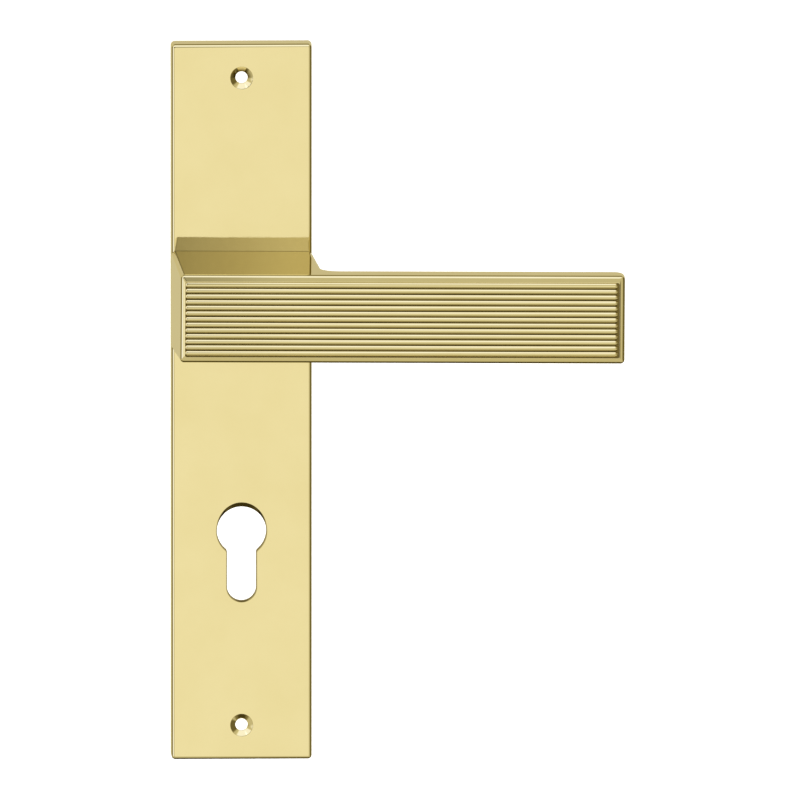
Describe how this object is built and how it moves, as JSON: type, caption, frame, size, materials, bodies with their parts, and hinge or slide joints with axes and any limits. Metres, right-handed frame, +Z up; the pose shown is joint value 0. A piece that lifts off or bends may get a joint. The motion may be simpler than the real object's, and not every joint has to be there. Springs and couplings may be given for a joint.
{
  "type": "door lever handle on plate",
  "caption": "Sprung door lever with a block-shaped neck and reeded bar grip on a long cover plate with a euro-profile cylinder cut-out",
  "frame": {"origin": "where the spindle axis meets the door face, which is the back face of the plate", "axes": "+Z up along the plate, +Y into the door along the spindle, +X towards the tip of the lever's grip; the handle faces -Y"},
  "size_m": [0.1649, 0.1111, 0.265],
  "materials": {
    "polished_brass": "polished, pale gold",
    "zinc_plated_steel": "zinc plated",
    "spring_steel": "oiled, dark",
    "white_nylon": "moulded"
  },
  "bodies": {
    "plate": {"cover_plate": "polished_brass", "backing_plate": "zinc_plated_steel", "backing_screw_1": "zinc_plated_steel", "backing_screw_2": "zinc_plated_steel", "backing_screw_3": "zinc_plated_steel", "backing_screw_4": "zinc_plated_steel", "spring_housing": "zinc_plated_steel", "housing_screw_1": "zinc_plated_steel", "housing_screw_2": "zinc_plated_steel", "bearing_bush": "white_nylon", "stop_pin_rest": "zinc_plated_steel", "stop_pin_down": "zinc_plated_steel", "return_spring": "spring_steel"},
    "lever": {"lever_body": "polished_brass", "reeded_insert": "polished_brass", "spindle": "zinc_plated_steel", "grub_screw": "spring_steel", "spring_hub": "zinc_plated_steel", "retaining_ring": "spring_steel", "thrust_washer": "zinc_plated_steel", "glide_ring": "white_nylon"}
  },
  "joints": [
    {"name": "lever_turn", "type": "hinge", "parent": "plate", "child": "lever", "pos_m": [0, 0, 0], "axis": [0, 1, 0], "range_deg": [0, 45], "stiffness_Nm_per_rad": 0.76, "springref_deg": -44.98, "deforming": ["return_spring"]}
  ]
}
